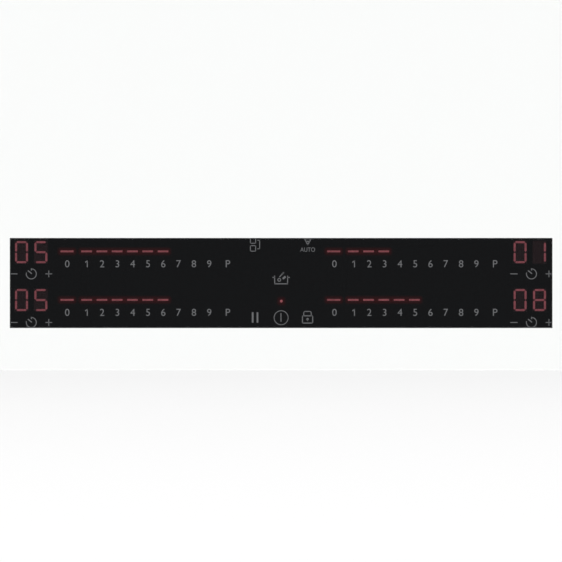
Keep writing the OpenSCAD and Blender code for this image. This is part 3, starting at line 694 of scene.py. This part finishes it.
class HOB_OT_springs(bpy.types.Operator):
    """Remakes the springs and leads under the coils as pieces of their own, with merged points and new
    finishes
    """

    bl_idname = "hob.springs"
    bl_label = "Coil springs and leads"

    def execute(self, context):
        # Spring steel wire, drawn and coiled: cool grey and faintly mottled
        steel = grained("drawn_spring_steel", ("#83868A", "#A9ACAF"), 1.2, (0.22, 0.4), 1.0)
        # Lacquered copper wire: reddish brown, glossy
        lead = grained("lacquered_copper_lead", ("#9A5730", "#C27A4A"), 0.8, (0.25, 0.4), 0.9)
        for side in SIDES:
            for node, slot, material in ((f"coil_springs_{side}", "spring_steel", steel),
                                         (f"coil_leads_{side}", "copper", lead)):
                shape = bmesh.new()
                shape.from_mesh(frame["nodes"][node].data)
                bmesh.ops.remove_doubles(shape, verts=shape.verts[:], dist=1e-6)
                piece = finished(f"{node}_soft", shape, "root", material, [node])
                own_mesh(piece)
        return {"FINISHED"}


class HOB_OT_lights(bpy.types.Operator):
    """Lights the timers, the sliders and the power dot"""

    bl_idname = "hob.lights"
    bl_label = "Lights"

    def execute(self, context):
        lights = context.scene.hob_lights
        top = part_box("slider_lights")[1].z
        power_lamp = (WINDOW_MID.x + POWER_LAMP[0] * MM, WINDOW_MID.y + POWER_LAMP[1] * MM, top)
        dress({
            "display_segments": lit_diffuser("numeral_diffuser", lights.numeral_colour),
            "slider_lights": lit_diffuser("bar_diffuser", lights.bar_colour, power_lamp),
            "timer_displays": lit_diffuser("display_face", lights.halo_colour),
            "light_guides": lit_diffuser("guide_face", lights.halo_colour),
            "mask_sheet": glowing_film(lights.glow_colour, lit_runs("slider_lights")),
        })
        return {"FINISHED"}


class HOB_OT_casing(bpy.types.Operator):
    """Finishes the seals, the frame, the tray, the terminal box and the clamps"""

    bl_idname = "hob.casing"
    bl_label = "Casing"

    def execute(self, context):
        dress({
            # Silicone rubber, cast in place: black and matt
            "silicone": grained("black_silicone", ("#121213", "#1A1A1B"), 2.0, (0.5, 0.65)),
            # Closed-cell foam tape: dull charcoal with pores of about 0.7 mm
            "seal_foam": grained("closed_cell_foam", ("#1A1A1B", "#2C2C2D"), 0.7, (0.85, 0.95),
                                 relief_mm=0.15),
            # Galvanised steel sheet, folded and punched
            "galvanised_sheet": galvanised_sheet(),
            # Glass-filled nylon, moulded: off-white with a faint mottle
            "terminal_insulator": grained("glass_filled_nylon", ("#C9C7BE", "#D9D7CF"), 1.2, (0.4, 0.55),
                                          relief_mm=0.03),
            # ABS, moulded with a spark-eroded texture, drawn 0.7 mm coarse to show: black, softly shining
            "black_plastic": grained("moulded_black_abs", ("#1A1A1C", "#252527"), 0.7, (0.42, 0.58),
                                     relief_mm=0.04),
            # Zinc-plated steel, barrel plated: bluish silver, clouded over a few millimetres
            "zinc_steel": grained("zinc_plated_steel", ("#AEB3B9", "#CDD0D4"), 4.0, (0.22, 0.4), 1.0),
        })
        return {"FINISHED"}


class HOB_OT_inside(bpy.types.Operator):
    """Finishes the control unit, the boards, the coils and the cooling"""

    bl_idname = "hob.inside"
    bl_label = "Inside"

    def execute(self, context):
        dress({
            # Laminate with solder mask
            "circuit_board": solder_mask_board(),
            # Polycarbonate, moulded and milky: it spreads light
            "light_plastic": grained("milky_polycarbonate", ("#D8D8D3", "#E6E6E2"), 4.0, (0.3, 0.42)),
            # Bronze wire, wound and gold plated: yellow and bright
            "touch_spring": grained("plated_bronze_wire", ("#B39550", "#D4BA78"), 0.8, (0.2, 0.35), 1.0),
            # Epoxy, moulded round the chips: near black and finely grained
            "chips": grained("moulded_epoxy", ("#18181A", "#242426"), 0.5, (0.5, 0.65), relief_mm=0.02),
            "ribbon": ribbon_cable(),
            # Polypropylene, moulded: warm white, waxy
            "cradle_plastic": grained("moulded_polypropylene", ("#CFCCC2", "#DDDAD2"), 3.0, (0.38, 0.5)),
            # Aluminium, extruded and sawn: pale with lines about 1 mm apart along X
            "aluminium": grained("extruded_aluminium", ("#B4B7B9", "#D2D4D6"), 1.0, (0.24, 0.42), 1.0, 0.01,
                                 (0.05, 1, 1)),
            # Film capacitors in polyester cases: ochre, satin
            "power_components": grained("ochre_polyester_case", ("#B1862A", "#CDA23C"), 5.0, (0.3, 0.42)),
            # Epoxy dip: deep blue and glossy
            "filter_components": grained("blue_epoxy_dip", ("#22528A", "#2E67A2"), 4.0, (0.2, 0.34)),
            # Ferrite, pressed and sintered: dark grey with a dry grain
            "ferrite": grained("sintered_ferrite", ("#2A2B2D", "#404144"), 0.9, (0.6, 0.8), relief_mm=0.05),
            # Litz wire, lacquered: copper brown, its strands a grain of 0.5 mm, coarser than real to show
            "copper": grained("litz_wire", ("#8A4B28", "#C98250"), 0.5, (0.3, 0.5), 0.85, 0.1, (1, 1, 0.4)),
            # Mica paper, pressed: pale gold flakes some 3 mm across
            "mica": grained("pressed_mica", ("#B8A674", "#DACDA6"), 3.0, (0.3, 0.55), relief_mm=0.03),
            # Steatite, unglazed: chalky white
            "sensor_ceramic": grained("unglazed_steatite", ("#D9D6CC", "#EAE8E1"), 1.0, (0.6, 0.75),
                                      relief_mm=0.02),
        })
        return {"FINISHED"}


# ---- Stage


def seen_directly(tree):
    """One where a surface is seen, straight or in glass and metal, and none where it only lights the hob."""
    path = add(tree, "ShaderNodeLightPath")
    seen = add(tree, "ShaderNodeMath", {0: path.outputs["Is Camera Ray"], 1: path.outputs["Is Glossy Ray"]},
               operation="MAXIMUM")
    seen = add(tree, "ShaderNodeMath", {0: seen.outputs[0], 1: path.outputs["Is Transmission Ray"]},
               operation="MAXIMUM")
    return seen.outputs[0]


class HOB_OT_stage(bpy.types.Operator):
    """Sets up the camera, the floor, the lamps and the world"""

    bl_idname = "hob.stage"
    bl_label = "Stage"

    def execute(self, context):
        context.scene.view_settings.view_transform = "Standard"
        self.add_camera(context.scene)
        self.add_floor(context.scene)
        self.add_lamps(context.scene)
        self.add_world(context.scene)
        return {"FINISHED"}

    def add_camera(self, scene):
        """Far above the window with a long lens, so that the hob shows almost without perspective"""
        data = bpy.data.cameras.new("camera")
        data.lens = 180
        data.clip_end = 20
        shown_width = 356.3 * MM
        above = shown_width * data.lens / data.sensor_width
        # From the window's middle to the middle of the view
        aside = Vector((-0.08, 1.28, 0)) * MM
        camera = bpy.data.objects.new("camera", data)
        camera.location = Vector((WINDOW_MID.x, WINDOW_MID.y, WINDOW_HIGH.z + above)) + aside
        scene.collection.objects.link(camera)
        scene.camera = camera

    def add_floor(self, scene):
        """A white matt floor that takes the hob's shadow, and is open from below to show the tray"""
        material, tree, place = blank("matt_paper")
        fibres = add(tree, "ShaderNodeTexNoise", {"Vector": place, "Scale": 1 / (4 * MM)})
        rough = add(tree, "ShaderNodeMapRange", {
            "Value": fibres.outputs["Fac"], "To Min": 0.85, "To Max": 0.95})
        paper = add(tree, "ShaderNodeBsdfPrincipled", {
            "Base Color": linear("#F8F8F8"), "Roughness": rough.outputs[0], "Specular IOR Level": 0.0})
        white = add(tree, "ShaderNodeEmission", {"Color": linear("#FFFFFF"), "Strength": 1.0})
        share = add(tree, "ShaderNodeMath", {0: seen_directly(tree), 1: 0.75}, operation="MULTIPLY")
        top = add(tree, "ShaderNodeMixShader", {
            0: share.outputs[0], 1: paper.outputs[0], 2: white.outputs[0]})
        both = add(tree, "ShaderNodeMixShader", {
            0: add(tree, "ShaderNodeNewGeometry").outputs["Backfacing"], 1: top.outputs[0],
            2: add(tree, "ShaderNodeBsdfTransparent").outputs[0]})
        add(tree, "ShaderNodeOutputMaterial", {"Surface": both.outputs[0]})
        # Keeps the floor out of the plane of the tray's underside
        drop = 0.3 * MM
        shape = bmesh.new()
        bmesh.ops.create_grid(shape, x_segments=1, y_segments=1, size=6.0)
        bmesh.ops.translate(shape, vec=(0, 0, -drop), verts=shape.verts[:])
        mesh = bpy.data.meshes.new("floor")
        shape.to_mesh(mesh)
        shape.free()
        mesh.materials.append(material)
        floor = bpy.data.objects.new("floor", mesh)
        scene.collection.objects.link(floor)

    def add_lamps(self, scene):
        """Four large soft lamps round the hob, none of them straight above it"""
        out = 2.0
        up = 1.7
        for name, angle, watts in (("front", -90, 14), ("right", 0, 12), ("rear", 90, 12), ("left", 180, 12)):
            data = bpy.data.lights.new(f"lamp_{name}", "AREA")
            data.shape = "SQUARE"
            data.size = 1.6
            data.energy = watts
            lamp = bpy.data.objects.new(f"lamp_{name}", data)
            turn = math.radians(angle)
            lamp.location = (out * math.cos(turn), out * math.sin(turn), up)
            lamp.rotation_euler = (-lamp.location).to_track_quat("-Z", "Y").to_euler()
            scene.collection.objects.link(lamp)

    def add_world(self, scene):
        """An even soft light, seen as white at the horizon and dim above, so that black glass looks black"""
        world = bpy.data.worlds.new("studio")
        world.use_nodes = True
        scene.world = world
        tree = world.node_tree
        tree.nodes.clear()
        sky = add(tree, "ShaderNodeTexCoord").outputs["Generated"]
        height = add(tree, "ShaderNodeSeparateXYZ", {"Vector": sky})
        fade = add(tree, "ShaderNodeMapRange", {
            "Value": height.outputs["Z"], "From Min": 0.08, "From Max": 0.5})
        studio = add(tree, "ShaderNodeMix", {
            "Factor": fade.outputs[0], COLOUR_A: linear("#FFFFFF"), COLOUR_B: linear("#7C7E82")},
            data_type="RGBA")
        colour = add(tree, "ShaderNodeMix", {
            "Factor": seen_directly(tree), COLOUR_A: linear("#D7D7D7"), COLOUR_B: studio.outputs[MIXED]},
            data_type="RGBA")
        light = add(tree, "ShaderNodeBackground", {"Color": colour.outputs[MIXED]})
        add(tree, "ShaderNodeOutputWorld", {"Surface": light.outputs[0]})


# ---- Panel


class HOB_PT_panel(bpy.types.Panel):
    """Lists the hob's settings and its pieces"""

    bl_idname = "HOB_PT_panel"
    bl_label = "Induction hob"
    bl_space_type = "VIEW_3D"
    bl_region_type = "UI"
    bl_category = "Hob"

    def draw(self, context):
        for group in SETTINGS:
            box = self.layout.box()
            for name in SETTINGS[group].__annotations__:
                box.prop(getattr(context.scene, group), name)
        for operator in PIECES:
            self.layout.operator(operator.bl_idname)


SETTINGS = {"hob_glass": HobGlassSettings, "hob_print": HobPrintSettings, "hob_lights": HobLightSettings}
PIECES = (HOB_OT_stage, HOB_OT_plate, HOB_OT_window, HOB_OT_numbers, HOB_OT_timer_keys, HOB_OT_signs,
          HOB_OT_zone_marks, HOB_OT_springs, HOB_OT_lights, HOB_OT_casing, HOB_OT_inside)
CLASSES = (*SETTINGS.values(), *PIECES, HOB_PT_panel)


def register():
    for item in CLASSES:
        bpy.utils.register_class(item)
    for group, settings in SETTINGS.items():
        setattr(bpy.types.Scene, group, PointerProperty(type=settings))


def unregister():
    for group in SETTINGS:
        delattr(bpy.types.Scene, group)
    for item in reversed(CLASSES):
        bpy.utils.unregister_class(item)


def main():
    register()
    bpy.ops.hob.stage()
    bpy.ops.hob.plate()
    bpy.ops.hob.window()
    bpy.ops.hob.numbers()
    bpy.ops.hob.timer_keys()
    bpy.ops.hob.signs()
    bpy.ops.hob.zone_marks()
    bpy.ops.hob.springs()
    bpy.ops.hob.lights()
    bpy.ops.hob.casing()
    bpy.ops.hob.inside()
    bare = [name for name, node in frame["nodes"].items() if not node.hide_render and "dressed" not in node]
    if bare:
        raise RuntimeError(f"these parts have no finish: {', '.join(bare)}")


if __name__ == "__main__":
    main()
